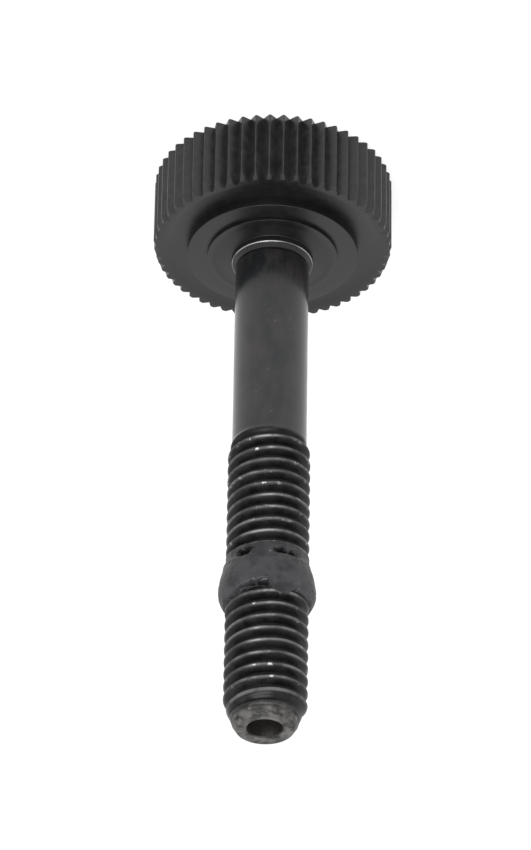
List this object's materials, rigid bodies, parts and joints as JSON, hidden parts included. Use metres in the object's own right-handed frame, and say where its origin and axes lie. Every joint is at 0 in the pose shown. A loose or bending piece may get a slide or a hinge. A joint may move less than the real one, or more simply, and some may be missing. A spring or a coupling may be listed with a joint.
{
  "type": "knurled thumb screw",
  "caption": "Knurled thumb screw: stepped round head, plain shank, metric thread with a locking patch and a short drilled tip.",
  "frame": {"origin": "centre of the head's flat outer face, which the screw stands on", "axes": "+Z along the screw's axis from the head to the tip"},
  "size_m": [0.0174, 0.0174, 0.0466],
  "materials": {
    "black_steel": "black oxide, satin",
    "patch_nylon": "matte"
  },
  "bodies": {
    "root": {"thumb_screw": "black_steel", "locking_patch": "patch_nylon"}
  },
  "joints": []
}
